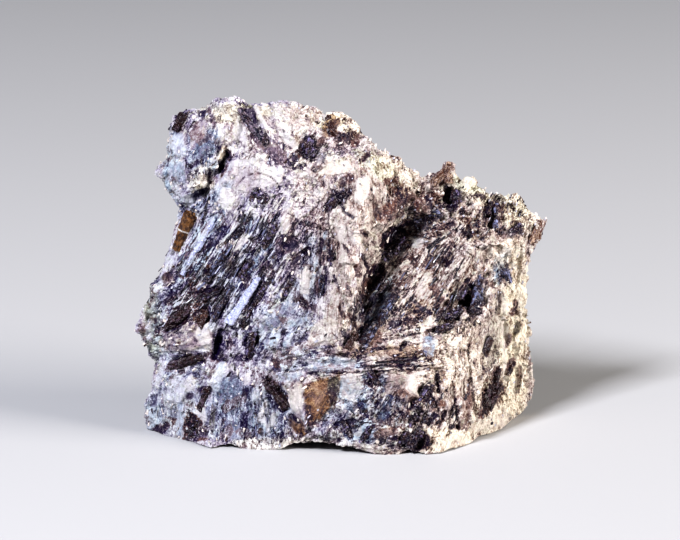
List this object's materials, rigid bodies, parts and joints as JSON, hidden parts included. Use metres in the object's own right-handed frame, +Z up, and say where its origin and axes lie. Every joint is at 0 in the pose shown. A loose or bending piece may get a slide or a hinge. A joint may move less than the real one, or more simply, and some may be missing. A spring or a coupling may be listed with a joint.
{
  "type": "dravite in mica schist specimen",
  "caption": "Rough free-standing chip of pale mica schist studded with dark dravite tourmaline prisms, resting on its flattened underside.",
  "frame": {"origin": "middle of the specimen's footprint, on the surface that it stands on", "axes": "+Z up, +X to the right of the crystal-rich face, +Y from that face to the back"},
  "size_m": [0.0624, 0.0308, 0.0509],
  "materials": {
    "schist": "rough, sparkling mica grain",
    "dravite_black": "glassy, striated",
    "dravite_blue_sheen": "glassy, striated, bluish sheen",
    "dravite_brown": "glassy to resinous",
    "dravite_golden": "weathered, resinous",
    "mica": "pearly cleavage faces"
  },
  "bodies": {
    "root": {"schist_matrix": "schist", "dravite_left_1": "dravite_black", "dravite_left_2": "dravite_black", "dravite_left_3": "dravite_black", "dravite_left_4": "dravite_brown", "dravite_left_5": "dravite_blue_sheen", "dravite_blade_host": "dravite_black", "mica_blade": "mica", "dravite_golden": "dravite_golden", "mica_lath": "mica", "dravite_streak_1": "dravite_blue_sheen", "dravite_streak_2": "dravite_black", "dravite_streak_3": "dravite_black", "dravite_streak_4": "dravite_black", "dravite_streak_5": "dravite_blue_sheen", "dravite_streak_6": "dravite_black", "dravite_streak_7": "dravite_black", "dravite_streak_8": "dravite_black", "dravite_corner": "dravite_brown", "dravite_upper_1": "dravite_black", "dravite_upper_2": "dravite_black", "dravite_upper_3": "dravite_black", "dravite_upper_4": "dravite_brown", "dravite_upper_5": "dravite_golden", "dravite_hollow_1": "dravite_blue_sheen", "dravite_hollow_2": "dravite_black", "dravite_hollow_3": "dravite_black", "dravite_hollow_4": "dravite_brown", "dravite_right_1": "dravite_blue_sheen", "dravite_right_2": "dravite_black", "dravite_right_3": "dravite_blue_sheen", "dravite_right_4": "dravite_blue_sheen", "dravite_den_1": "dravite_blue_sheen", "dravite_den_2": "dravite_black", "dravite_den_3": "dravite_black", "dravite_right_5": "dravite_black", "dravite_right_6": "dravite_black", "dravite_spike": "dravite_brown", "dravite_tip": "dravite_brown", "dravite_low_1": "dravite_blue_sheen", "dravite_low_2": "dravite_black", "dravite_low_3": "dravite_black", "dravite_low_4": "dravite_black", "dravite_low_5": "dravite_black", "dravite_low_6": "dravite_black", "dravite_low_7": "dravite_black", "dravite_low_8": "dravite_black", "dravite_low_9": "dravite_black", "dravite_low_10": "dravite_golden", "dravite_low_11": "dravite_black", "dravite_side_1": "dravite_brown", "dravite_side_2": "dravite_brown", "dravite_base": "dravite_black", "dravite_back_1": "dravite_black", "dravite_back_2": "dravite_black", "dravite_back_3": "dravite_brown", "dravite_back_4": "dravite_black", "dravite_back_5": "dravite_black", "dravite_back_6": "dravite_golden"}
  },
  "joints": []
}
